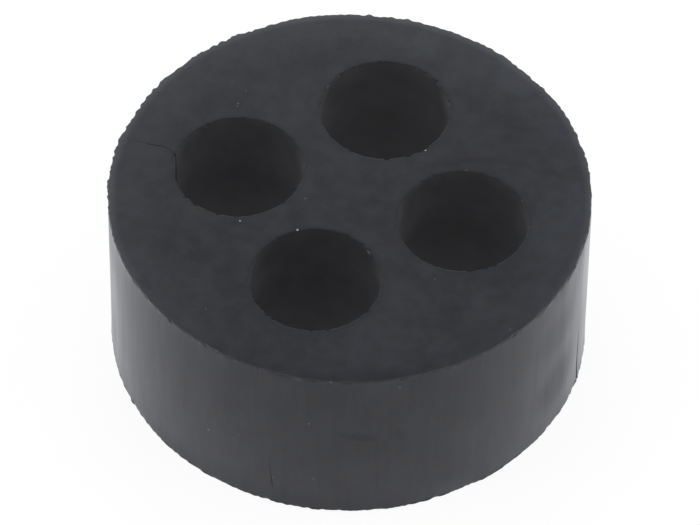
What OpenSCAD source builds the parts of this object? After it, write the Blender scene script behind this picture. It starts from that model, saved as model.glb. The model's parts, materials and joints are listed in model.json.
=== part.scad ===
// Multi-hole sealing insert for a cable gland.
// A short round rubber plug with a ring of cable holes through it.
// A knife slit runs from each hole out to the side wall, so that a cable
// can be laid in from the side. The gland's nut then squeezes the plug
// until every hole closes round its cable and every slit closes up.
//
// The origin is the centre of the bottom face. Z runs along the cables,
// and the first hole and its slit lie on +X.

/* [Body] */
// Outside diameter of the plug
body_d = 26; // [21:0.5:40]
// Height of the plug along the cables
body_h = 11; // [6:0.5:30]
// Radius that the mould leaves on the two outer edges
edge_r = 0.1; // [0.05:0.05:0.5]

/* [Cable holes] */
// Number of holes, spaced evenly round the middle
hole_count = 4; // [1:1:5]
// Diameter of each hole, which is the diameter of its cable
hole_d = 7; // [4:0.1:8.4]
// Diameter of the circle that the hole centres lie on
pitch_d = 12.6; // [10.5:0.1:17]

/* [Slits] */
// Gap between the two lips of a slit while the plug lies loose
slit_gap = 0.1; // [0.05:0.05:0.4]

/* [Hidden] */

// Radii that the diameters give
body_r = body_d / 2;
pitch_r = pitch_d / 2;
// Angle from one hole to the next
hole_step = 360 / hole_count;
// How far a cutting shape runs past the face that it cuts through
cut_past = 1;
// Facets of a full turn
$fn = 128;

// Half section of the plug: a plain rectangle whose two outer corners
// are rounded by a circle tucked into each.
module half_section() {
    square([body_r - edge_r, body_h]);
    translate([0, edge_r])
        square([body_r, body_h - 2 * edge_r]);
    for (corner_z = [edge_r, body_h - edge_r])
        translate([body_r - edge_r, corner_z])
            circle(r = edge_r);
}

// The solid plug before anything is cut through it
module plug() {
    rotate_extrude()
        half_section();
}

// Puts a copy of what follows on each hole's centre, with X pointing
// straight out to the side wall.
module at_each_hole() {
    for (i = [0 : hole_count - 1])
        rotate(i * hole_step)
            translate([pitch_r, 0, -cut_past])
                children();
}

// One cable hole, cut right through
module hole_cut() {
    cylinder(d = hole_d, h = body_h + 2 * cut_past);
}

// One slit, from the middle of its hole out past the side wall
module slit_cut() {
    translate([0, -slit_gap / 2, 0])
        cube([body_r - pitch_r + cut_past, slit_gap, body_h + 2 * cut_past]);
}

// The finished insert, one moulded piece of near-black rubber
module sealing_insert() {
    color([0.13, 0.13, 0.14])
        difference() {
            plug();
            at_each_hole() {
                hole_cut();
                slit_cut();
            }
        }
}

sealing_insert();
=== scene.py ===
# %% [markdown]
# # A slit rubber insert for a cable gland
#
# The real object is a short round plug of near-black rubber, 26 mm across. Four round holes run
# through it, and a knife slit opens each hole to the side wall, so that a cable can be laid in.
# It is one moulding, so this lesson makes one piece. The frame gives its sizes, and the lesson
# gives it what a plain solid lacks: ragged moulded edges, slits that wander and close, fine draw
# lines down the wall, and rubber that is nearly black but still shines at a glancing angle.

# %% Load the frame
import json
import math

import bmesh
import bpy
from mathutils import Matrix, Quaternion, Vector, noise


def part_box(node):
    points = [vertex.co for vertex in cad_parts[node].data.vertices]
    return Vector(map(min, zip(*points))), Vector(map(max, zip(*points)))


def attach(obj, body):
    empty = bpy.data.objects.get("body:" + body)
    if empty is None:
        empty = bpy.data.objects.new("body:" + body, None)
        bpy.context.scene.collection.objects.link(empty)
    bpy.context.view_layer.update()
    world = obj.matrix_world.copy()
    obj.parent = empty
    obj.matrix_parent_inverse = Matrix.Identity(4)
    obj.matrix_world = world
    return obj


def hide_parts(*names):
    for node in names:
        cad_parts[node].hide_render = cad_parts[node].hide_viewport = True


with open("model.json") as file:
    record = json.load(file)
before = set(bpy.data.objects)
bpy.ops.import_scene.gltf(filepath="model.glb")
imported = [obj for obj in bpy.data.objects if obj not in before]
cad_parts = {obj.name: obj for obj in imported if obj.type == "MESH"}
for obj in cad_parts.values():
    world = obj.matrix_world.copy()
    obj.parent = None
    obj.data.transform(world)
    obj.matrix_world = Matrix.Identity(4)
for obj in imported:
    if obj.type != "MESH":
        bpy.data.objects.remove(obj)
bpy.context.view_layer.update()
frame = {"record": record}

MM = 0.001

# %% [markdown]
# ## Sizes
#
# Every size comes from the frame: the outside from the node's box, the holes from the record's
# mounts. The modelling below works in millimetres, because edge details of a few hundredths of
# a millimetre are easier to read that way, and the finished mesh is scaled to metres once.

# %% Sizes from the frame
NODE = "sealing_insert"
_, node_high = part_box(NODE)
body_r = node_high.x / MM
body_h = node_high.z / MM
bores = [m for m in frame["record"]["mounts"] if m["kind"] == "bore"]
hole_count = len(bores)
hole_r = bores[0]["dims"]["r_mm"]
pitch_r = max(m["pos_m"][0] for m in bores) / MM
# Where a hole ends and its slit starts, as distance from the plug's axis
hole_edge = pitch_r + hole_r
sector = 2 * math.pi / hole_count
print(f"body {body_r:.2f} x {body_h:.2f} mm, {hole_count} holes of {hole_r} mm on {pitch_r:.2f} mm")

# %% [markdown]
# ## The camera
#
# The photograph was taken from far away through a long lens, so the plug shows almost no
# perspective. A camera fitted to its outline and its four holes gives the numbers below. They
# come first, because every look at the work goes through them.

# %% Camera
# The distance and the aim are in mm. The camera looks at a spot below the middle of the top face
# and very slightly to one side of it, as seen in the picture.
PHOTO_WIDTH_PX = 700
SENSOR_WIDTH_MM = 36
FOCAL_PX = 6398
CAMERA_DISTANCE = 343.1
CAMERA_AZIMUTH = math.radians(16.68)
CAMERA_ELEVATION = math.radians(49.88)
CAMERA_ROLL = math.radians(0.78)
AIM_BELOW_TOP = 3.70
AIM_RIGHT = -0.02

camera_data = bpy.data.cameras.new("photo_camera")
camera_data.sensor_width = SENSOR_WIDTH_MM
camera_data.lens = SENSOR_WIDTH_MM * FOCAL_PX / PHOTO_WIDTH_PX
camera_data.clip_start = 0.01
camera_data.clip_end = 20
camera = bpy.data.objects.new("photo_camera", camera_data)
bpy.context.scene.collection.objects.link(camera)
bpy.context.scene.camera = camera

level = math.cos(CAMERA_ELEVATION)
back = Vector((
    math.sin(CAMERA_AZIMUTH) * level, -math.cos(CAMERA_AZIMUTH) * level, math.sin(CAMERA_ELEVATION)))
turn = (-back).to_track_quat("-Z", "Y") @ Quaternion((0, 0, 1), CAMERA_ROLL)
aim = Vector((0, 0, body_h)) + turn @ Vector((AIM_RIGHT, -AIM_BELOW_TOP, 0))
camera.location = (aim + back * CAMERA_DISTANCE) * MM
camera.rotation_mode = "QUATERNION"
camera.rotation_quaternion = turn
print(f"lens {camera_data.lens:.0f} mm, camera at {tuple(round(x, 3) for x in camera.location)} m")

# %% [markdown]
# ## One quarter of the plan
#
# Seen from above, the plug repeats itself once for each hole. Its plan is drawn as two chains of
# edges with the same number of steps: one round the hole, and one from the slit along the rim,
# in to the centre and back out again. `bridge_loops` joins the two chains with a strip of faces,
# and cuts across the strip give it rows. That puts small faces where the detail is, at the holes
# and the rim, and large ones in between. A boolean would leave long thin triangles instead.

# %% Helpers for chains of edges
# How wide a slit is drawn, in mm, and how many steps and rows the strip of faces has
SLIT_GAP = 0.02
RIM_STEPS = 120
SEAM_STEPS = 60
ROWS = 8


def newest_vertex(result):
    """The vertex that a spin stopped at."""
    return next(g for g in result["geom_last"] if isinstance(g, bmesh.types.BMVert))


def draw_arc(mesh, start, centre, angle, steps):
    """Sweeps a vertex round a centre and returns where it stopped."""
    return newest_vertex(bmesh.ops.spin(
        mesh, geom=[start], cent=centre, axis=(0, 0, 1), dvec=(0, 0, 0), angle=angle, steps=steps))


def draw_line(mesh, start, end, steps):
    """Moves a vertex straight to a point and returns where it stopped."""
    stride = (Vector(end) - start.co) / steps
    return newest_vertex(bmesh.ops.spin(
        mesh, geom=[start], cent=(0, 0, 0), axis=(0, 0, 1), dvec=stride, angle=0, steps=steps))


# %% Plan of one sector
plan = bmesh.new()
half_gap = SLIT_GAP / 2
corner = Vector((math.cos(sector / 2), math.sin(sector / 2), 0)) * body_r
lip_angle_at_rim = math.asin(half_gap / body_r)
lip_angle_at_hole = math.asin(half_gap / hole_r)
hole_centre = Vector((pitch_r, 0, 0))
corner_angle_at_hole = math.atan2(corner.y, corner.x - pitch_r)

pen = plan.verts.new((body_r * math.cos(lip_angle_at_rim), half_gap, 0))
pen = draw_arc(plan, pen, (0, 0, 0), sector / 2 - lip_angle_at_rim, RIM_STEPS)
pen = draw_line(plan, pen, (0, 0, 0), SEAM_STEPS)
pen = draw_line(plan, pen, (corner.x, -corner.y, 0), SEAM_STEPS)
draw_arc(plan, pen, (0, 0, 0), sector / 2 - lip_angle_at_rim, RIM_STEPS)

pen = plan.verts.new(hole_centre + Vector((hole_r * math.cos(lip_angle_at_hole), half_gap, 0)))
pen = draw_arc(plan, pen, hole_centre, corner_angle_at_hole - lip_angle_at_hole, RIM_STEPS)
pen = draw_arc(plan, pen, hole_centre, 2 * (math.pi - corner_angle_at_hole), 2 * SEAM_STEPS)
draw_arc(plan, pen, hole_centre, corner_angle_at_hole - lip_angle_at_hole, RIM_STEPS)

chains = set(plan.edges)
bmesh.ops.bridge_loops(plan, edges=plan.edges[:])
spokes = [e for e in plan.edges if e not in chains]
bmesh.ops.subdivide_edges(plan, edges=spokes, cuts=ROWS - 1, use_grid_fill=True)
for vert in plan.verts:
    if vert.co.x > pitch_r and abs(vert.co.y) < SLIT_GAP:
        vert.co.y = 0
print(f"one sector: {len(plan.faces)} faces")

# %% [markdown]
# ## From one sector to the whole plug
#
# Spinning copies of the sector and merging the seams closes the plan. Insets run narrow bands of
# faces along its borders, so that an edge's rounding doesn't bend the shading of the flat face
# beside it. The slits come next, as they do on the real part: a line of edges is cut open, like
# a knife cut, and the two lips are moved a hair apart. Then the plan is extruded upwards and
# sliced level by level, with the slices close together near the two ends, where the ragged edges
# are.

# %% Whole plan
# How wide the two bands are, and how close two vertices lie that are merged, in mm
RIM_BAND = 0.22
BORDER_BAND = 0.09
MERGE = 0.0001

bmesh.ops.spin(
    plan, geom=plan.verts[:] + plan.edges[:] + plan.faces[:], cent=(0, 0, 0), axis=(0, 0, 1),
    dvec=(0, 0, 0), angle=sector * (hole_count - 1), steps=hole_count - 1, use_duplicate=True)
bmesh.ops.remove_doubles(plan, verts=plan.verts[:], dist=MERGE)

# The wide band runs along the outer rim only, so lids close the holes while it is made.
mouths = [e for e in plan.edges if e.is_boundary and e.verts[0].co.length < body_r - RIM_BAND]
lids = bmesh.ops.holes_fill(plan, edges=mouths)["faces"]
band = {"use_boundary": True, "use_even_offset": True}
bmesh.ops.inset_region(plan, faces=plan.faces[:], thickness=RIM_BAND, **band)
bmesh.ops.delete(plan, geom=lids, context="FACES_ONLY")
bmesh.ops.inset_region(plan, faces=plan.faces[:], thickness=BORDER_BAND, **band)
print(f"whole plan: {len(plan.faces)} faces, {len(lids)} holes")

# %% Cut the slits
# Near enough in mm to count as on a line or a face
ON_IT = 0.001


def heading_at(point):
    """The number of the nearest slit, the way it points, and the way across it."""
    turns = round(math.atan2(point.y, point.x) / sector)
    ahead = Vector((math.cos(turns * sector), math.sin(turns * sector), 0))
    return turns % hole_count, ahead, Vector((-ahead.y, ahead.x, 0))


def on_slit(vert):
    """Does this vertex of the plan lie on a slit's line?"""
    _, ahead, sideways = heading_at(vert.co)
    past_hole = vert.co.dot(ahead) > hole_edge - ON_IT
    return past_hole and abs(vert.co.dot(sideways)) < ON_IT


cut_lines = [e for e in plan.edges if all(on_slit(v) for v in e.verts)]
before = len(plan.verts)
bmesh.ops.split_edges(plan, edges=cut_lines)
for vert in [v for v in plan.verts if on_slit(v)]:
    _, _, sideways = heading_at(vert.co)
    lean = sum(f.calc_center_median().dot(sideways) for f in vert.link_faces)
    vert.co += sideways * math.copysign(half_gap, lean)
print(f"{hole_count} slits: {len(cut_lines)} edges cut, {len(plan.verts) - before} new vertices")

# %% Extrude and slice
# Heights of the slices above the bottom, and their depths below the top, in mm
ROWS_FROM_EACH_END = (0.13, 0.2, 0.32, 0.55, 1.0, 1.7, 2.6, 3.6, 4.6)

solid = plan
lifted = bmesh.ops.extrude_face_region(solid, geom=solid.faces[:], use_keep_orig=True)
top_verts = [g for g in lifted["geom"] if isinstance(g, bmesh.types.BMVert)]
bmesh.ops.translate(solid, verts=top_verts, vec=(0, 0, body_h))
bmesh.ops.recalc_face_normals(solid, faces=solid.faces[:])

levels = [*ROWS_FROM_EACH_END, body_h / 2, *(body_h - z for z in ROWS_FROM_EACH_END)]
for z in levels:
    bmesh.ops.bisect_plane(
        solid, geom=solid.verts[:] + solid.edges[:] + solid.faces[:], dist=MERGE,
        plane_co=(0, 0, z), plane_no=(0, 0, 1))
closed = all(e.is_manifold for e in solid.edges)
print(f"solid: {len(solid.faces)} faces, closed {closed}, {solid.calc_volume():.0f} cubic mm")

# %% [markdown]
# ## Small roundings
#
# Nothing moulded in rubber has a true knife edge. The two outer edges and the hole mouths get
# roundings of less than a tenth of a millimetre. `bevel` makes them. It finds its edges by where
# they lie, which is simple while the solid is still a plain one.

# %% Round the rims
# How far each rounding reaches, in mm
OUTER_ROUND = 0.065
MOUTH_ROUND = 0.04


def at_an_end(vert):
    """Is this vertex on the top or the bottom face?"""
    return vert.co.z < ON_IT or vert.co.z > body_h - ON_IT


def on_outside(vert):
    """Is this vertex on the side wall?"""
    return vert.co.xy.length > body_r - ON_IT


def from_hole_axis(point):
    """Distance in plan from the axis of the nearest hole."""
    _, ahead, _ = heading_at(point)
    return (point.xy - ahead.xy * pitch_r).length


def on_a_bore(vert):
    """Is this vertex on the wall of a hole?"""
    return from_hole_axis(vert.co) < hole_r + ON_IT


def end_edges(mesh, test):
    """Edges of the two faces whose vertices both pass the test."""
    return [e for e in mesh.edges if all(at_an_end(v) and test(v) for v in e.verts)]


for test, size, segments in ((on_outside, OUTER_ROUND, 3), (on_a_bore, MOUTH_ROUND, 2)):
    edges = end_edges(solid, test)
    bmesh.ops.bevel(
        solid, geom=edges, offset=size, offset_type="OFFSET", segments=segments, profile=0.5,
        affect="EDGES", material=-1, clamp_overlap=False)
    print(f"{test.__name__}: {len(edges)} edges rounded by {size} mm")

# %% [markdown]
# ## Which rubber goes where
#
# One rubber, five finishes. The two end faces are matte. The side wall slid out of a polished
# mould and is satin. The bores and slits are dull and painted paler, which is painted light inside the
# holes, and the rounding of the top rim is dull and paler too, more faintly, partly as painted glow.
# The torn roundings of the mouths are the dullest of all. A face is sorted by its normal and its place,
# before anything is bent.

# %% Sort the faces by finish
FINISH_NAMES = ("face", "wall", "bore", "rim", "mouth")
FACE_FINISH, WALL_FINISH, BORE_FINISH, RIM_FINISH, MOUTH_FINISH = range(len(FINISH_NAMES))
# A face counts as level where its normal's Z is more than this, up or down.
LEVEL_ENOUGH = 0.3
for face in solid.faces:
    middle = face.calc_center_median()
    outside = middle.xy.length > body_r - OUTER_ROUND
    slanting = LEVEL_ENOUGH < abs(face.normal.z) < 1 - ON_IT
    if slanting and from_hole_axis(middle) < hole_r + MOUTH_ROUND:
        face.material_index = MOUTH_FINISH
    elif outside and middle.z > body_h - OUTER_ROUND:
        face.material_index = RIM_FINISH
    elif outside:
        face.material_index = WALL_FINISH
    elif abs(face.normal.z) > LEVEL_ENOUGH:
        face.material_index = FACE_FINISH
    else:
        face.material_index = BORE_FINISH
for number, name in enumerate(FINISH_NAMES):
    print(name, "finish:", sum(f.material_index == number for f in solid.faces), "faces")

# %% [markdown]
# ## Marks of the mould and the knife
#
# Close up, this plug is not a perfect cylinder. Flash was torn off both outer edges and left
# small scallops, the wall has draw lines, the faces are slightly uneven, and the slits wander a
# little as a knife in soft rubber does. Each of these is a small move of the vertices. All the
# unevenness comes from one noise function of the point itself, so it joins up all the way round
# and is the same on every run.

# %% Helpers for the marks
def uneven(point, size, seed, along=1.0):
    """Smooth noise between about -1 and 1 with lumps `size` mm across, stretched along Z."""
    place = Vector((point.x, point.y, point.z / along)) / size
    # Unlike multiples of the seed keep any two of these noises from lining up.
    return noise.noise(place + Vector((seed, 2.3 * seed, 5.1 * seed)))


def swell(point, height, size, seed, along=1.0):
    """Unevenness in mm. The kinds below are written as height, size, seed and stretch along Z."""
    return height * uneven(point, size, seed, along)


def ease(t):
    """0 below 0, 1 above 1, and a smooth step in between."""
    t = min(max(t, 0.0), 1.0)
    return t * t * (3 - 2 * t)


def patches(value, contrast):
    """Turns noise around 0 into patches of 0 and 1, with softer borders where contrast is low."""
    return ease(0.5 + contrast * value)


def towards(degrees):
    """The way that an angle in the plan points."""
    return Vector((math.cos(math.radians(degrees)), math.sin(math.radians(degrees))))


# %% The slits
# How far a slit's drift and its lips' parting reach sideways, how far inside its hole's edge they
# begin and how soon they are full, and half the gap that stays where a slit is closed, in mm.
SLIT_REACH = 1.2
LIP_REACH = 0.35
SLIT_START = 1.0
SLIT_FADE = 0.8
CLOSED_HALF_GAP = 0.0004
# For each slit: sideways drift at the wall at the top, the middle and the bottom, in mm. On the way
# from the hole to the wall it grows by this power. A small wander comes on top, and the slits lie
# apart in its noise, so that no two wander alike.
SLIT_DRIFT = ((0.15, 0.05, 0.03), (-0.25, -0.1, 0.1), (-0.12, 0.1, 0.2), (-0.6, -0.55, -0.1))
DRIFT_POWER = 0.7
SLIT_WANDER = (0.03, 0.9, 3)
WANDERS_APART = 7
# For each slit: how far its lips part, in mm, and where that is, as distance from the centre
# and height, with the length of the parted stretch.
SLIT_OPEN = (
    (0.150, 13.0, 1.2, 4.4),
    (0.046, 13.0, 7.2, 3.0),
    (0.036, 10.9, 11.0, 1.5),
    (0.044, 13.0, 2.05, 0.9),
)
# The slit along -X has a kink where the knife changed direction: its distance from the centre, how
# far it goes sideways and half its length, in mm. From there it swings to the other side, and its
# lips are chipped where it enters its hole: how far they part there, and the height of the middle
# of that stretch and half its length.
CHIPPED_SLIT = 2
KINK_AT = 10.55
KINK_SIDEWAYS = -0.12
KINK_STRETCH = 0.7
SWING_SIDEWAYS = 0.2
SWING_REACH = 0.6
CHIP_WIDTH = 0.18
CHIP_HEIGHT = 9.9
CHIP_STRETCH = 1.5
CHIP_REACH = 0.15


def drift_at(which, out, z):
    """How far a slit has wandered sideways at a distance from the centre and a height."""
    top, middle, bottom = SLIT_DRIFT[which]
    up = z / body_h
    # The parabola that goes through the drift at the bottom, the middle and the top
    across = bottom * (1 - up) * (1 - 2 * up) + middle * 4 * up * (1 - up) + top * up * (2 * up - 1)
    along = max((out - hole_edge) / (body_r - hole_edge), 0.0)
    drift = across * along ** DRIFT_POWER + swell(Vector((out, WANDERS_APART * which, z)), *SLIT_WANDER)
    if which == CHIPPED_SLIT:
        drift += KINK_SIDEWAYS * (1 - ease(abs(out - KINK_AT) / KINK_STRETCH))
        drift += SWING_SIDEWAYS * (1 - ease((out - hole_edge) / SWING_REACH))
    return drift


def half_gap_at(which, out, z):
    """Half the gap between a slit's lips at a distance from the centre and a height."""
    parted, at_out, at_z, stretch = SLIT_OPEN[which]
    away = math.hypot(out - at_out, z - at_z) / stretch
    gap = parted * (1 - ease(away))
    if which == CHIPPED_SLIT:
        inwards = 1 - ease((out - hole_edge) / CHIP_REACH)
        gap += CHIP_WIDTH * inwards * ease(2 - 2 * abs(z - CHIP_HEIGHT) / CHIP_STRETCH)
    return CLOSED_HALF_GAP + gap / 2


def shape_slit(point):
    """Moves a point near a slit round the plug's axis, so that the slit wanders, opens and closes."""
    which, ahead, sideways = heading_at(point)
    out = point.dot(ahead)
    across = point.dot(sideways)
    near_slit = 1 - ease(abs(across) / SLIT_REACH)
    past_hole = ease((out - hole_edge + SLIT_START) / SLIT_FADE)
    if near_slit * past_hole == 0:
        return Vector((0, 0, 0))
    drift = drift_at(which, out, point.z) * near_slit
    near_lip = 1 - ease((abs(across) - half_gap) / LIP_REACH)
    opening = (half_gap_at(which, out, point.z) - half_gap) * near_lip
    move = past_hole * (drift + math.copysign(1, across) * opening)
    return Quaternion((0, 0, 1), move / out) @ point - point


drifts = [round(drift_at(which, body_r, body_h / 2), 2) for which in range(hole_count)]
print("drift of the slits at the wall, half way up, mm:", drifts)

# %% The two rims
# Torn flash is made of waves, ripples, lumps and grit: height and size of each, in mm. The grit and
# the lumps stay at the very edge, and the other two reach further in.
FLASH_WAVES = (0.085, 2.3)
FLASH_RIPPLES = (0.05, 1.2)
FLASH_LUMPS = (0.045, 0.6)
FLASH_GRIT = (0.15, 0.26)
WAVE_REACH = 1.0
BURR_REACH = 0.2
REACH_POWER = 1.5
LUMP_CONTRAST = 2.2
# Some stretches of a rim are rougher than others: the least and the most, how long such a stretch
# is in mm and how sharply it ends.
LEAST_ROUGH = 0.55
MOST_ROUGH = 1.1
ROUGH_STRETCH = 6.0
ROUGH_CONTRAST = 1.5
# Each rim has noise of its own.
TOP_SEED = 21
BOTTOM_SEED = 31
# The bottom rim is less torn than the top one, and sticks out a little, in mm.
BOTTOM_SHARE = 0.55
BOTTOM_LEAN = 0.03
# Notches in the top rim: angle in degrees, depth and half width in mm.
NICKS = (
    (-119.4, 0.09, 0.2), (-108.5, 0.06, 0.15), (-105.2, 0.07, 0.12), (-31.1, 0.05, 0.14), (139.0, 0.07, 0.2),
)
# Broad dents in each rim, and swellings where the depth is below 0, written the same way.
TOP_DENTS = ((33, 0.05, 3.5), (92, -0.07, 1.8), (118, -0.06, 2.0))
BOTTOM_DENTS = ((-118, -0.045, 4.5), (-85, -0.09, 2.6), (-50, 0.10, 3.0), (-30, 0.06, 2.2))
# The top rim is worn round along one stretch, whose middle is at this angle in degrees. Its torn
# edge is calmer there too, over a longer stretch.
WORN_ANGLE = -73
WORN_LENGTH = 5.0
WORN_WIDTH = 0.5
CALM_SHARE = 0.4
CALM_LENGTH = 9.0
worn_rim = towards(WORN_ANGLE) * body_r


def torn_edge(point, from_edge, seed):
    """Torn flash along a rim: lumps and grit at the very edge, waves that reach further in."""
    roughest = patches(uneven(point, ROUGH_STRETCH, seed + 1), ROUGH_CONTRAST)
    rough = LEAST_ROUGH + (MOST_ROUGH - LEAST_ROUGH) * roughest
    waves = swell(point, *FLASH_WAVES, seed + 4) + rough * swell(point, *FLASH_RIPPLES, seed + 3)
    height, size = FLASH_LUMPS
    lumps = height * (patches(uneven(point, size, seed), LUMP_CONTRAST) - 0.5)
    grit = swell(point, *FLASH_GRIT, seed + 2)
    near, nearer = (max(1 - from_edge / reach, 0.0) ** REACH_POWER for reach in (WAVE_REACH, BURR_REACH))
    return near * waves + nearer * rough * (lumps + grit)


def dent_depth(point, table):
    """How deep a table of notches or dents cuts in at this point of a rim."""
    return sum(
        deep * (1 - ease((point.xy - towards(degrees) * body_r).length / half_width))
        for degrees, deep, half_width in table)


print(len(NICKS), "notches and", len(TOP_DENTS) + len(BOTTOM_DENTS), "broad dents and swellings")

# %% The side wall
# Broad bulges, upright draw lines and short ripples
WALL_BULGE = (0.02, 7.0, 11, 3)
DRAW_LINES = (0.0035, 0.3, 12, 12)
WALL_RIPPLE = (0.003, 0.9, 13, 4)
# How far into the rubber the bulges reach, and the lines and ripples, in mm.
BULGE_REACH = 1.5
SKIN = 0.5
# The plug is a hair flat on one side: the angle of that side in degrees, how deep the flat is and
# half how wide, in mm.
FLAT_ANGLE = 8
FLAT_DEPTH = 0.04
FLAT_REACH = 7.5
flat_side = towards(FLAT_ANGLE) * body_r


def shape_outside(point):
    """In and out moves of the side wall and of its two edges."""
    r = point.xy.length
    radial = Vector((point.x, point.y, 0)) / max(r, ON_IT)
    from_wall = body_r - r
    to_end = min(point.z, body_h - point.z)
    from_edge = math.hypot(from_wall, to_end)
    near_wall = 1 - ease(from_wall / BULGE_REACH)
    flatness = FLAT_DEPTH * (1 - ease((point.xy - flat_side).length / FLAT_REACH))
    move = near_wall * (swell(point, *WALL_BULGE) - flatness)
    if from_wall < SKIN:
        move += swell(point, *DRAW_LINES) + swell(point, *WALL_RIPPLE)
    if from_edge < WAVE_REACH:
        at_rim = radial * body_r
        near = 1 - from_edge / WAVE_REACH
        if point.z > body_h / 2:
            at_rim.z = body_h
            calm = CALM_SHARE + (1 - CALM_SHARE) * ease((at_rim.xy - worn_rim).length / CALM_LENGTH - 1)
            move += calm * torn_edge(at_rim, from_edge, TOP_SEED) - near * dent_depth(at_rim, TOP_DENTS)
            move -= dent_depth(point, NICKS) * (1 - ease(from_edge / BURR_REACH))
        else:
            at_rim.z = 0
            move += BOTTOM_SHARE * torn_edge(at_rim, from_edge, BOTTOM_SEED)
            move += near * (BOTTOM_LEAN - dent_depth(at_rim, BOTTOM_DENTS))
    return radial * move


# %% The holes
BORE_BULGE = (0.015, 3.0, 41, 2)
BORE_REACH = 1.0
# The torn mouth of a hole has lumps and grit, and teeth that rise by TOOTH_SLOPE where a third
# noise is over TOOTH_ONSET. The reach, a tooth's height and its size are in mm.
MOUTH_REACH = 0.25
MOUTH_LUMPS = (0.04, 0.8, 42)
MOUTH_GRIT = (0.03, 0.22, 43)
TOOTH_HEIGHT = 0.10
TOOTH_SIZE = 0.33
TOOTH_SEED = 44
TOOTH_SLOPE = 3.0
TOOTH_ONSET = 0.2


def shape_bore(point):
    """In and out moves of a hole's wall and of its two mouths, which have small torn teeth."""
    _, ahead, sideways = heading_at(point)
    across = point.dot(sideways)
    axis = ahead * pitch_r
    axis.z = point.z
    arm = point - axis
    r = arm.length
    if r > hole_r + BORE_REACH:
        return Vector((0, 0, 0))
    to_end = min(point.z, body_h - point.z)
    fade = 1 - ease((r - hole_r) / BORE_REACH)
    move = fade * swell(point, *BORE_BULGE)
    from_mouth = math.hypot(r - hole_r, to_end)
    if from_mouth < MOUTH_REACH:
        at_mouth = axis + arm * (hole_r / r)
        at_mouth.z = round(point.z / body_h) * body_h
        lumps = swell(at_mouth, *MOUTH_LUMPS) + swell(at_mouth, *MOUTH_GRIT)
        peaks = ease(TOOTH_SLOPE * (uneven(at_mouth, TOOTH_SIZE, TOOTH_SEED) - TOOTH_ONSET))
        teeth = TOOTH_HEIGHT * peaks * ease(abs(across))
        move += (lumps + teeth) * (1 - from_mouth / MOUTH_REACH)
    return arm / r * move


# %% The two end faces
FACE_DIPS = (0.012, 4.0, 51)
FACE_PITS = (0.003, 1.2, 52)
# How deep into the rubber the dips reach, how far a face falls away at its rim, and how much more
# where the rim is worn, in mm
DIP_REACH = 0.5
RIM_FALL = 0.006
WORN_FALL = 0.04


def shape_faces(point):
    """Dips in the two end faces, which never rise above the plug's own height."""
    to_end = min(point.z, body_h - point.z)
    if to_end > DIP_REACH:
        return Vector((0, 0, 0))
    dip = sum(kind[0] + swell(point, *kind) for kind in (FACE_DIPS, FACE_PITS))
    worn = 1 - ease((point.xy - worn_rim).length / WORN_LENGTH)
    from_rim = body_r - point.xy.length
    dip += (RIM_FALL + WORN_FALL * worn) * (1 - ease(from_rim / WORN_WIDTH))
    inward = -1 if point.z > body_h / 2 else 1
    return Vector((0, 0, inward * dip * (1 - ease(to_end / DIP_REACH))))


# %% Move every vertex
shapers = (shape_slit, shape_outside, shape_bore, shape_faces)
for vert in solid.verts:
    start = vert.co.copy()
    vert.co = start + sum((shape(start) for shape in shapers), Vector((0, 0, 0)))

# %% [markdown]
# ## Shader maths as plain sums
#
# A material below reads like a formula. `Wire` stands for one output of a shader node, and
# adding or multiplying wires adds the Math nodes. `Recipe.add` makes every other node: it takes
# the node's type, then its settings, then the values or wires of its sockets.

# %% Shader helpers


class Wire:
    """One output of a shader node, on which arithmetic adds Math nodes."""

    def __init__(self, recipe, socket):
        self.recipe = recipe
        self.socket = socket

    def __add__(self, other):
        return self.recipe.maths("ADD", self, other)

    def __sub__(self, other):
        return self.recipe.maths("SUBTRACT", self, other)

    def __rsub__(self, other):
        return self.recipe.maths("SUBTRACT", other, self)

    def __mul__(self, other):
        return self.recipe.maths("MULTIPLY", self, other)

    __radd__ = __add__
    __rmul__ = __mul__

    def step(self, low, high):
        """0 where this is at low, 1 where it is at high, smooth in between."""
        return self.recipe.add(
            "ShaderNodeMapRange", {"interpolation_type": "SMOOTHSTEP"},
            {"Value": self, "From Min": low, "From Max": high})


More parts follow.
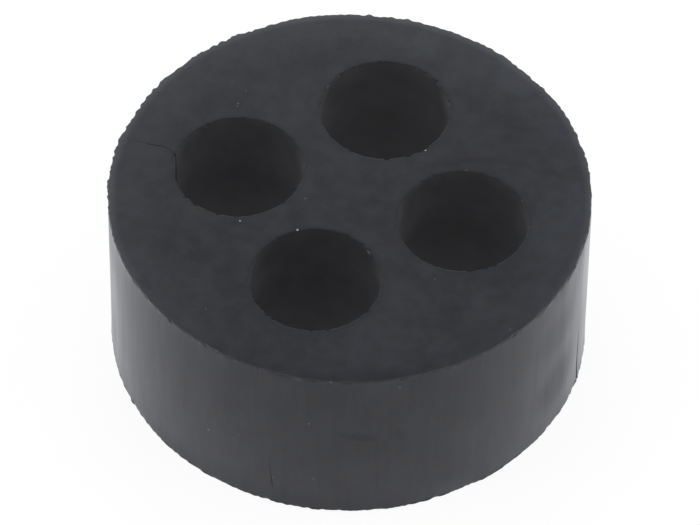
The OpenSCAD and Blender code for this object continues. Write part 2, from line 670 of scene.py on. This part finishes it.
class Recipe:
    """The node tree of one material or world."""

    def __init__(self, owner):
        owner.use_nodes = True
        self.tree = owner.node_tree
        self.tree.nodes.clear()

    def add(self, kind, settings=None, inputs=None, output=0):
        """Adds a node and returns one of its outputs as a wire."""
        node = self.tree.nodes.new(kind)
        for name, value in (settings or {}).items():
            setattr(node, name, value)
        for name, value in (inputs or {}).items():
            if isinstance(value, Wire):
                self.tree.links.new(value.socket, node.inputs[name])
            else:
                node.inputs[name].default_value = value
        return Wire(self, node.outputs[output]) if node.outputs else None

    def maths(self, operation, *values):
        """A Math node on values and wires."""
        return self.add("ShaderNodeMath", {"operation": operation}, dict(enumerate(values)))

    def place(self, squeeze=1):
        """The point on the piece in millimetres, with Z squeezed, which draws a pattern out along Z."""
        coordinates = self.add("ShaderNodeTexCoord", output="Object")
        scale = (1 / MM, 1 / MM, squeeze / MM)
        return self.add("ShaderNodeVectorMath", {"operation": "MULTIPLY"}, {0: coordinates, 1: scale})

    def flat(self, place):
        """The point as seen from above, with a height of 0."""
        return self.add("ShaderNodeVectorMath", {"operation": "MULTIPLY"}, {0: place, 1: (1, 1, 0)})

    def cloud(self, place, size, detail):
        """Soft noise around 0.5 with lumps `size` mm across."""
        return self.add(
            "ShaderNodeTexNoise", {"noise_dimensions": "3D"},
            {"Vector": place, "Scale": 1 / size, "Detail": detail})

    def tint(self, amount, *ends):
        """A colour between two others, each of them written out or a wire."""
        low, high = (end if isinstance(end, Wire) else (*end, 1) for end in ends)
        return self.add(
            "ShaderNodeMix", {"data_type": "RGBA"}, {"Factor": amount, "A": low, "B": high}, output="Result")

    def distance(self, place, spot):
        """How far the point is from a spot, both in millimetres."""
        return self.add(
            "ShaderNodeVectorMath", {"operation": "DISTANCE"}, {0: place, 1: spot}, output="Value")

    def axis(self, place, name):
        """One coordinate of the point."""
        return self.add("ShaderNodeSeparateXYZ", {}, {"Vector": place}, output=name)

    def relief(self, height_mm):
        """A bump from a height in millimetres."""
        return self.add(
            "ShaderNodeBump", {}, {"Height": height_mm, "Distance": MM, "Strength": 1}, output="Normal")


print("shader helpers ready")

# %% [markdown]
# ## The rubber
#
# Carbon-filled rubber reflects hardly any light by itself: about one hundredth of what falls on
# it. What the eye sees is the clear gloss on top of it, about three hundredths seen from above
# and far more at a glancing angle, which is why the side wall goes from charcoal to silver
# towards its edges. So the base colours here are nearly black, and roughness and small relief
# do the rest.
#
# The plug has also been handled. Pale grains of dust stick to it, and soft rubbed places are a
# little darker or paler than the rubber round them. Some of those spots are painted sheen on the
# side wall and painted glow near the rim of the top face. Both are short tables of spots on the piece.

# %% Small marks
def on_top(x, y):
    """A spot on the top face."""
    return (x, y, body_h)


def on_wall(degrees, depth):
    """A spot on the side wall, by its angle and its depth below the top."""
    around = math.radians(degrees)
    return (body_r * math.cos(around), body_r * math.sin(around), body_h - depth)


# Pale grains stuck to the rubber: place, radius in mm, how pale.
GRAINS = (
    (on_top(-7.6, 5.33), 0.07, 0.1), (on_top(-7.72, 4.32), 0.09, 0.15), (on_top(-7.7, 4.12), 0.07, 0.12),
    (on_top(-9.95, 3.4), 0.07, 0.05), (on_top(-8.5, 5.7), 0.12, 0.03), (on_top(-5.05, -3.62), 0.075, 0.7),
    (on_top(-1.93, -3.3), 0.08, 0.9), (on_top(-2.2, -1.06), 0.06, 0.15), (on_top(2.22, -3.64), 0.1, 0.15),
    (on_top(2.92, 4.21), 0.1, 1.0), (on_top(5.45, 3.5), 0.07, 0.12), (on_top(6.06, -4.34), 0.07, 0.1),
    (on_top(-4.9, -9.98), 0.06, 0.15), (on_top(10.82, -6.45), 0.1, 0.06), (on_wall(-108.6, 0.03), 0.11, 0.1),
    (on_wall(-105.6, 0.05), 0.1, 0.12), (on_wall(-77.2, 0.1), 0.06, 0.35), (on_wall(-78.4, 0.95), 0.06, 0.09),
    (on_wall(-61.2, 0.75), 0.08, 0.2), (on_wall(-108.1, 7.1), 0.08, 0.3), (on_wall(-107.7, 6.95), 0.05, 0.2),
    (on_wall(-99.7, 6.3), 0.06, 0.2), (on_wall(-82.3, 3.75), 0.07, 0.3), (on_wall(-90.8, 8.95), 0.06, 0.15),
    (on_wall(-89.7, 9.3), 0.06, 0.1), (on_wall(-81.2, 8.4), 0.08, 0.15),
    ((2.06, -3.47, body_h - 0.2), 0.12, 0.25), ((2.17, -3.54, body_h - 0.25), 0.12, 0.12),
)
# Soft rubbed places, and on the side wall and near the rim of the top face painted sheen and glow: place,
# radius in mm, how much darker, or paler where below 0.
RUBS_AND_SHEEN = (
    (on_top(-5.9, -9.4), 0.6, 0.25), (on_top(-5.0, -9.8), 0.6, 0.25), (on_top(1.4, -0.1), 0.35, 0.35),
    (on_top(8.8, -5.0), 0.7, -0.35), (on_top(8.6, -6.2), 0.8, -0.3), (on_top(8.6, 5.95), 0.6, 0.25),
    (on_top(-0.4, 1.3), 0.9, -0.1), (on_top(3.2, 9.6), 1.0, -0.25), (on_top(-2.4, 1.9), 1.0, 0.25),
    (on_top(-2.2, -2.5), 0.9, 0.3), (on_top(-4.6, -7.7), 1.3, 0.3), (on_top(9.2, -3.6), 0.7, 0.25),
    (on_wall(-74.0, 4.45), 0.4, 0.9), (on_wall(-71.9, 4.65), 0.45, 1.3), (on_wall(-69.6, 4.75), 0.45, 1.3),
    (on_wall(-67.6, 4.8), 0.4, 1.1), (on_wall(-61.5, 4.6), 0.7, 0.4), (on_wall(-59.4, 5.1), 0.6, 0.35),
    (on_wall(-58.6, 2.7), 0.4, 0.4), (on_wall(-74.0, 6.2), 0.5, 0.3), (on_wall(-94.5, 5.6), 0.5, 0.35),
    (on_wall(-101.0, 4.0), 1.3, 0.3), (on_wall(-127.5, 4.4), 0.4, 0.15), (on_wall(-14.0, 3.5), 2.6, 0.6),
    (on_wall(-13.0, 7.8), 3.0, 0.9), (on_wall(9.0, 2.6), 4.5, -0.4), (on_wall(10.0, 8.0), 4.5, -0.2),
    (on_wall(-156.0, 5.0), 3.6, -0.3), (on_top(10.5, 0.7), 2.2, -0.5), (on_top(4.5, -9.0), 3.0, -0.5),
    (on_top(3.7, 11.4), 2.0, -0.3), (on_top(6.3, 10.9), 1.7, -0.9), (on_top(0.8, 11.3), 1.4, -0.5),
)


def spots(recipe, place, table, core):
    """Adds up a table of spots, each full inside `core` of its radius."""
    return sum(
        recipe.distance(place, spot).step(radius, core * radius) * strength
        for spot, radius, strength in table)


print(f"{len(GRAINS)} grains and {len(RUBS_AND_SHEEN)} rubbed places")

# %% One rubber for all finishes
RUBBER_IOR = 1.40
USUAL_GLOSS = 0.5


def rubber(name, base, roughness, relief, gloss=USUAL_GLOSS):
    """The shared shader of all five finishes, made of a colour, a roughness and a relief."""
    material = bpy.data.materials.new(name)
    recipe = Recipe(material)
    shader = recipe.add("ShaderNodeBsdfPrincipled", {}, {"IOR": RUBBER_IOR, "Specular IOR Level": gloss})
    node = shader.socket.node
    for socket, make in (("Base Color", base), ("Roughness", roughness), ("Normal", relief)):
        recipe.tree.links.new(make(recipe).socket, node.inputs[socket])
    recipe.add("ShaderNodeOutputMaterial", {}, {"Surface": shader})
    return material


# %% Shared looks
# A spot is full inside these shares of its radius.
GRAIN_CORE = 0.3
RUB_AND_SHEEN_CORE = 0.2
GRAIN_COLOUR = (0.5, 0.5, 0.52)
BLACK = (0, 0, 0)
# Noise around 0.5 becomes patches of 0 and 1 between two values. Close together, they give patches
# with sharper borders.
SOFT = (0.3, 0.7)
SHARP = (0.35, 0.65)
# Patches of rubber that lean to blue or to red, and specks of dust: their size in mm.
TONE_SIZE = 1.3
SPECK_SIZE = 0.5


def layers(recipe, table):
    """Adds up layers of noise. Each has its squeeze along Z, size in mm, detail and share."""
    return sum(
        recipe.cloud(recipe.place(squeeze), size, detail) * share for squeeze, size, detail, share in table)


def dullness(least, *table):
    """Makes a roughness: its least value, and layers of noise on top of it."""
    return lambda recipe: layers(recipe, table) + least


def bumps(*table):
    """Makes a relief of layers of noise, whose shares are heights in mm."""
    return lambda recipe: recipe.relief(layers(recipe, table))


def toned(recipe, place, amount, cool, warm):
    """Rubber between its darkest and palest shades, which differ between cool and warm patches."""
    warmth = recipe.cloud(place, TONE_SIZE, 1).step(*SHARP)
    return recipe.tint(warmth, recipe.tint(amount, *cool), recipe.tint(amount, *warm))


def specked(recipe, place, shades):
    """Rubber with specks of dust."""
    return recipe.tint(recipe.cloud(place, SPECK_SIZE, 3).step(*SOFT), *shades)


def with_grains(recipe, place, colour):
    """A colour with the pale grains on top of it."""
    return recipe.tint(spots(recipe, place, GRAINS, GRAIN_CORE), colour, GRAIN_COLOUR)


# %% [markdown]
# ### The end faces and the top rim
#
# The faces are matte and mottled. Noise of three sizes between two near-black shades gives that,
# where noise of one size would look like a pattern. A painted glow lies on the rim by the distance
# from the plug's axis, and painted shade round the edges of the holes goes by the distance from theirs.

# %% Finish of the faces and the rim
# The darkest and the palest shade of the rubber, on cool and on warm patches.
FACE_COOL = ((0.0020, 0.0038, 0.0088), (0.0142, 0.0180, 0.0242))
FACE_WARM = ((0.0030, 0.0034, 0.0090), (0.0160, 0.0166, 0.0240))
RIM_SHADES = ((0.027, 0.028, 0.031), (0.045, 0.046, 0.050))
# Mottling of the faces: size of the lumps in mm and their share.
FACE_LUMPS = ((2.6, 0.30), (1.0, 0.40), (0.4, 0.18))
# The rim of a face is painted paler, a painted glow, most of all at its very edge, except along its
# worn stretch. For each band: its width, how pale it is, and how far from the worn stretch it starts and is
# full.
GLOW_BANDS = ((3.5, 0.05, 5, 12.5), (0.55, 0.16, 9, 20))
# The colour of that painted glow
RIM_GLOW_COLOUR = (0.20, 0.21, 0.235)
# Round each hole the face is painted darker over this many mm and by this share, painted shade at the hole's
# edge.
EDGE_SHADE_REACH = 0.35
EDGE_SHADE_SHARE = 0.6
# A darker line across the top face: it starts near one hole and swings out to the rim. In Y it goes
# from the first value below to the second, while X goes through its swing, and it wobbles on the
# way. Downwards it fades between two depths. All of these are in mm.
LINE_FROM = 3.2
LINE_TO = 4.7
LINE_SWING = (3, 7)
LINE_START = (1.5, 3)
LINE_WOBBLE = 0.8
LINE_WIDTH = 0.3
LINE_DEPTHS = (0.5, 0.2)
LINE_SHARE = 0.3
hole_axes = [Vector(m["pos_m"][:2]) / MM for m in bores]


def darker_line(recipe, place):
    """1 in the middle of the darker line, 0 outside it."""
    x, y, z = (recipe.axis(place, name) for name in "XYZ")
    wobble = (recipe.cloud(place, LINE_WOBBLE, 3) - 0.5) * LINE_WOBBLE
    off_line = x.step(*LINE_SWING) * (LINE_TO - LINE_FROM) + LINE_FROM + wobble - y
    from_line = recipe.maths("ABSOLUTE", off_line)
    on_the_top = z.step(*(body_h - depth for depth in LINE_DEPTHS))
    return from_line.step(LINE_WIDTH, 0) * x.step(*LINE_START) * on_the_top


def shade_beside_holes(recipe, place):
    """1 at the edge of a hole, 0 a little way out on the face."""
    flat = recipe.flat(place)
    return sum(recipe.distance(flat, (*axis, 0)).step(hole_r + EDGE_SHADE_REACH, hole_r) for axis in hole_axes)


def painted_rim_glow(recipe, place):
    """How much glow is painted at the rim of a face, fading inwards and towards the worn stretch."""
    flat = recipe.flat(place)
    from_axis = recipe.distance(flat, (0, 0, 0))
    from_worn = recipe.distance(flat, (*worn_rim, 0))
    return sum(
        from_axis.step(body_r - width, body_r) * from_worn.step(near, far) * share
        for width, share, near, far in GLOW_BANDS)


def face_base(recipe):
    place = recipe.place()
    lumps = sum(recipe.cloud(place, size, 1).step(*SOFT) * share for size, share in FACE_LUMPS)
    amount = lumps - darker_line(recipe, place) * LINE_SHARE - spots(recipe, place, RUBS_AND_SHEEN, RUB_AND_SHEEN_CORE)
    rubber_colour = toned(recipe, place, amount, FACE_COOL, FACE_WARM)
    with_painted_light = recipe.tint(painted_rim_glow(recipe, place), rubber_colour, RIM_GLOW_COLOUR)
    return with_grains(recipe, place, recipe.tint(shade_beside_holes(recipe, place) * EDGE_SHADE_SHARE, with_painted_light, BLACK))


def rim_base(recipe):
    place = recipe.place()
    with_painted_light = recipe.tint(painted_rim_glow(recipe, place), specked(recipe, place, RIM_SHADES), RIM_GLOW_COLOUR)
    return with_grains(recipe, place, with_painted_light)


fine_bumps = bumps((1, 0.12, 3, 0.004))
finishes = {
    FACE_FINISH: rubber("face_rubber", face_base, dullness(0.42, (1, 3.0, 3, 0.2)), fine_bumps),
    RIM_FINISH: rubber("rim_rubber", rim_base, dullness(0.45, (1, 0.5, 2, 0.1)), fine_bumps),
}
print("finishes so far:", [m.name for m in finishes.values()])

# %% [markdown]
# ### The side wall
#
# The wall is shinier than the faces, so its streaks show in how it reflects as much as in its
# colour. Noise that is drawn out along Z serves for all of it: a thin film in the colour, dull
# lines in the roughness, and draw lines too fine for the mesh in the relief.

# %% Finish of the wall
WALL_COOL = ((0.0102, 0.0124, 0.0174), (0.0290, 0.0330, 0.0395))
WALL_WARM = ((0.0132, 0.0117, 0.0159), (0.0342, 0.0310, 0.0370))
# The wall gets paler downwards, which is painted light, and would be palest at this height in mm, below the
# plug.
PALEST_HEIGHT = -2
# Streaks and blotches of the film: squeeze along Z, size in mm, detail and share.
FILM_LAYERS = ((0.08, 0.4, 3, 0.8), (0.6, 1.8, 3, 1.3))
# Upright lines and bands that are duller, written the same way.
DULL_LAYERS = ((0.06, 0.5, 3, 0.1), (0.15, 1.6, 2, 0.12))
LEAST_DULL = 0.14
# A rubbed place, or a spot of painted sheen, counts less on the wall than on a face, and is duller there.
RUB_AND_SHEEN_SHARE = 0.5
RUB_AND_SHEEN_DULLNESS = 0.15


def wall_base(recipe):
    place = recipe.place()
    middle = sum(share for *_, share in FILM_LAYERS) / 2
    # The step in Z makes the wall paler downwards: painted light.
    paleness = recipe.axis(place, "Z").step(body_h, PALEST_HEIGHT) + layers(recipe, FILM_LAYERS) - middle
    amount = paleness - spots(recipe, place, RUBS_AND_SHEEN, RUB_AND_SHEEN_CORE) * RUB_AND_SHEEN_SHARE
    return with_grains(recipe, place, toned(recipe, place, amount, WALL_COOL, WALL_WARM))


def wall_roughness(recipe):
    rubbed = spots(recipe, recipe.place(), RUBS_AND_SHEEN, RUB_AND_SHEEN_CORE)
    return layers(recipe, DULL_LAYERS) + rubbed * RUB_AND_SHEEN_DULLNESS + LEAST_DULL


wall_lines = bumps((0.05, 0.25, 2, 0.002))
finishes[WALL_FINISH] = rubber("wall_rubber", wall_base, wall_roughness, wall_lines)
print("finishes so far:", [m.name for m in finishes.values()])

# %% [markdown]
# ### The holes and their mouths
#
# The walls of the holes are painted paler than the rubber, which is painted light inside the holes.
# It differs from hole to hole and from side to side. A texture could hold it, but distances from a few
# places do the same and are easy to change. Torn rubber scatters the light, so the mouths have less gloss.

# %% Finish of the holes and the mouths
MOUTH_SHADES = ((0.027, 0.028, 0.031), (0.040, 0.041, 0.045))
TORN_GLOSS = 0.15
HOLE_LIGHT_SHADES = ((0.054, 0.052, 0.058), (0.125, 0.123, 0.129))
# The painted light in the holes is uneven in patches, and grows stronger from the hole at -Y to the
# one at +Y: the size of the patches in mm, their share, where the growth starts and ends, and its share.
HOLE_LIGHT_PATCH_SIZE = 1.5
HOLE_LIGHT_PATCH_SHARE = 0.19
HOLE_LIGHT_GROWTH = (-9, 9)
HOLE_LIGHT_GROWTH_SHARE = 0.43
# Just inside each mouth it is darkened again, which is painted shade: how deep that reaches in mm, and by how
# much.
BORE_SHADE_DEPTH = 3.5
BORE_SHADE_SHARE = 0.3
# It lies unevenly round each hole and is strongest on the two sides in line with the lamps, which is
# painted light. For each side: its angle in degrees, how much paler it is, or darker where below 0,
# the depths where that starts and is full, and how far from the side it ends and is full.
SIDE_LIGHT_TABLE = (
    (197, 0.28, 0.5, 2.5, 3.8, 1.5), (17, 0.22, 1.2, 4.0, 3.8, 1.5),
    (55, -0.19, 3.0, 0.5, 3.8, 1.5), (163, -0.12, 3.0, 0.5, 3.8, 1.5),
    (197, 0.5, 2.0, 0.8, 2.2, 0.6), (17, 0.45, 2.0, 0.8, 2.2, 0.6),
)
# The hole at +Y has its strongest painted light deep down and less on its sides: each patch's place,
# radius in mm and how much paler it is, and the share of the radius inside which it is full.
HOLE_LIGHT_PATCHES = (
    ((-1.0, 9.65, 5.8), 4.0, 0.3), ((-3.4, 6.0, 9.0), 3.2, -0.25), ((3.0, 7.9, 9.0), 3.0, -0.15),
)
HOLE_LIGHT_CORE = 0.35


def mouth_base(recipe):
    place = recipe.place()
    return with_grains(recipe, place, specked(recipe, place, MOUTH_SHADES))


def painted_side_light(recipe, place):
    """How much more or less light is painted on the sides of the holes."""
    flat = recipe.flat(place)
    height = recipe.axis(place, "Z")
    more = 0
    for degrees, share, start, full, end, core in SIDE_LIGHT_TABLE:
        sides = [axis + towards(degrees) * hole_r for axis in hole_axes]
        spread = sum(recipe.distance(flat, (*side, 0)).step(end, core) for side in sides)
        more += spread * height.step(body_h - start, body_h - full) * share
    return more


def bore_base(recipe):
    """Paler rubber that paints light into the holes, darkened again near the mouths as painted shade."""
    place = recipe.place()
    patchy = recipe.cloud(place, HOLE_LIGHT_PATCH_SIZE, 3).step(*SHARP) * HOLE_LIGHT_PATCH_SHARE
    hole_light = patchy + recipe.axis(place, "Y").step(*HOLE_LIGHT_GROWTH) * HOLE_LIGHT_GROWTH_SHARE
    more = painted_side_light(recipe, place) + spots(recipe, place, HOLE_LIGHT_PATCHES, HOLE_LIGHT_CORE)
    with_painted_light = recipe.tint(hole_light + more, *HOLE_LIGHT_SHADES)
    bore_shade = recipe.axis(place, "Z").step(body_h - BORE_SHADE_DEPTH, body_h) * BORE_SHADE_SHARE
    return with_grains(recipe, place, recipe.tint(bore_shade, with_painted_light, BLACK))


bore_lines = bumps((0.2, 0.2, 3, 0.004))
finishes[BORE_FINISH] = rubber("bore_rubber", bore_base, dullness(0.5, (1, 1.0, 2, 0.1)), bore_lines)
finishes[MOUTH_FINISH] = rubber(
    "mouth_rubber", mouth_base, dullness(0.65, (1, 0.3, 2, 0.1)), fine_bumps, gloss=TORN_GLOSS)
print("all finishes:", [m.name for m in finishes.values()])

# %% [markdown]
# ## The finished piece
#
# The mesh is scaled to metres, smoothed, and given creases where its faces meet at an angle, so
# that the rims stay crisp. It then stands in for the plain CAD solid.

# %% Make the object
CREASE = math.radians(24)
bmesh.ops.scale(solid, verts=solid.verts[:], vec=(MM, MM, MM))
mesh = bpy.data.meshes.new("rubber_insert")
solid.to_mesh(mesh)
solid.free()
for number in range(len(FINISH_NAMES)):
    mesh.materials.append(finishes[number])
mesh.shade_smooth()
mesh.set_sharp_from_angle(angle=CREASE)
insert = bpy.data.objects.new("rubber_insert", mesh)
bpy.context.scene.collection.objects.link(insert)
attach(insert, "root")
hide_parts(NODE)
triangles = sum(len(p.vertices) - 2 for p in mesh.polygons)
print(f"rubber_insert: {len(mesh.vertices)} vertices, {triangles} triangles")

# %% [markdown]
# ## Floor and light
#
# The plug was photographed on white in a light tent with a lamp on either side of it. The tent
# is open towards the camera, so less light comes from there: the front rim is a little darker
# than the top face, and so is the far wall of each hole, which faces the camera. A white world
# that dims towards the camera's side does the same, with one large soft lamp on each side and a
# small weak reflector close behind the plug.
#
# The floor must look white, but a floor lit like the rest would be a light grey. So most of
# what is seen of it, directly or mirrored, is a plain white glow, and the rest is a surface
# that shows the plug's soft shadow. Under the plug itself that glow is a little dimmer, a painted shadow.

# %% Floor
# Half the floor's width, in metres
FLOOR_HALF = 1.5
LIT_GREY = (0.8, 0.8, 0.8, 1)
SHADOW_GREY = (0.13, 0.13, 0.13, 1)
# The glow clear of the plug and under it, where it is dimmer as a painted shadow, and over how many mm it
# changes at the plug's edge.
WHITE_SHARE = 0.90
SHADED_GLOW_UNDER_PLUG = 0.74
GLOW_EDGE = 1
# The floor's own white is faintly cool. In the picture it is overexposed, so only what the
# rubber mirrors shows it.
MIRRORED_WHITE = (0.925, 0.935, 0.975)
floor_mesh = bpy.data.meshes.new("floor")
floor_shape = bmesh.new()
bmesh.ops.create_grid(floor_shape, x_segments=1, y_segments=1, size=FLOOR_HALF)
floor_shape.to_mesh(floor_mesh)
floor_shape.free()
floor = bpy.data.objects.new("floor", floor_mesh)
bpy.context.scene.collection.objects.link(floor)


def seen_directly(recipe):
    """1 on rays that show the background itself, in the picture or in a reflection."""
    rays = [recipe.add("ShaderNodeLightPath", output=name)
            for name in ("Is Camera Ray", "Is Glossy Ray", "Is Transmission Ray")]
    return recipe.maths("MAXIMUM", recipe.maths("MAXIMUM", rays[0], rays[1]), rays[2])


floor_material = bpy.data.materials.new("white_floor")
recipe = Recipe(floor_material)
lit = recipe.add("ShaderNodeBsdfDiffuse", {}, {"Color": LIT_GREY})
faint = recipe.add("ShaderNodeBsdfDiffuse", {}, {"Color": SHADOW_GREY})
from_axis = recipe.distance(recipe.flat(recipe.place()), (0, 0, 0))
clear_of_plug = from_axis.step(body_r - GLOW_EDGE, body_r)
glow = clear_of_plug * (WHITE_SHARE - SHADED_GLOW_UNDER_PLUG) + SHADED_GLOW_UNDER_PLUG
in_picture = recipe.add("ShaderNodeLightPath", output="Is Camera Ray")
white = recipe.tint(in_picture, MIRRORED_WHITE, (1, 1, 1))
glowing = recipe.add("ShaderNodeEmission", {}, {"Color": recipe.tint(glow, BLACK, white), "Strength": 1})
shown = recipe.add("ShaderNodeAddShader", {}, {0: faint, 1: glowing})
surface = recipe.add("ShaderNodeMixShader", {}, {"Fac": seen_directly(recipe), 1: lit, 2: shown})
recipe.add("ShaderNodeOutputMaterial", {}, {"Surface": surface})
floor_mesh.materials.append(floor_material)

# %% World and lamps
# How bright the tent is, and its open side, where 1 is white
TENT_LEVEL = 0.66
OPENING_LEVEL = 0.4
# How far towards the camera's side a direction points, from -1 to 1, where the dimming starts and
# where it is full.
OPENING = (-0.7, 0.9)
world = bpy.data.worlds.new("white_tent")
bpy.context.scene.world = world
recipe = Recipe(world)
to_camera = (math.sin(CAMERA_AZIMUTH), -math.cos(CAMERA_AZIMUTH), 0)
direction = recipe.add("ShaderNodeTexCoord", output="Generated")
frontal = recipe.add(
    "ShaderNodeVectorMath", {"operation": "DOT_PRODUCT"}, {0: direction, 1: to_camera}, output="Value")
level_there = frontal.step(*OPENING) * (OPENING_LEVEL - TENT_LEVEL) + TENT_LEVEL
camera_ray = recipe.add("ShaderNodeLightPath", output="Is Camera Ray")
strength = recipe.maths("MAXIMUM", level_there, camera_ray)
tent = recipe.add("ShaderNodeBackground", {}, {"Color": (1, 1, 1, 1), "Strength": strength})
recipe.add("ShaderNodeOutputWorld", {}, {"Surface": tent})


def soft_lamp(name, azimuth, elevation, distance, size, watts):
    """A square lamp that points at the plug. Its angles are in degrees, its lengths in metres."""
    data = bpy.data.lights.new(name, "AREA")
    data.shape = "SQUARE"
    data.size = size
    data.energy = watts
    lamp = bpy.data.objects.new(name, data)
    around, up = math.radians(azimuth), math.radians(elevation)
    away = Vector((math.sin(around) * math.cos(up), -math.cos(around) * math.cos(up), math.sin(up)))
    lamp.location = away * distance
    lamp.rotation_euler = (-away).to_track_quat("-Z", "Y").to_euler()
    bpy.context.scene.collection.objects.link(lamp)
    return lamp


SIDE_LAMP_COLOUR = (0.93, 0.97, 1.0)
camera_degrees = math.degrees(CAMERA_AZIMUTH)
for name, azimuth in (("left_softbox", camera_degrees - 90), ("right_softbox", camera_degrees + 90)):
    lamp = soft_lamp(name, azimuth, elevation=25, distance=0.5, size=0.55, watts=1.48)
    lamp.data.color = SIDE_LAMP_COLOUR
soft_lamp("back_reflector", camera_degrees + 185, elevation=20, distance=0.10, size=0.06, watts=0.030)
bpy.context.scene.view_settings.view_transform = "Standard"
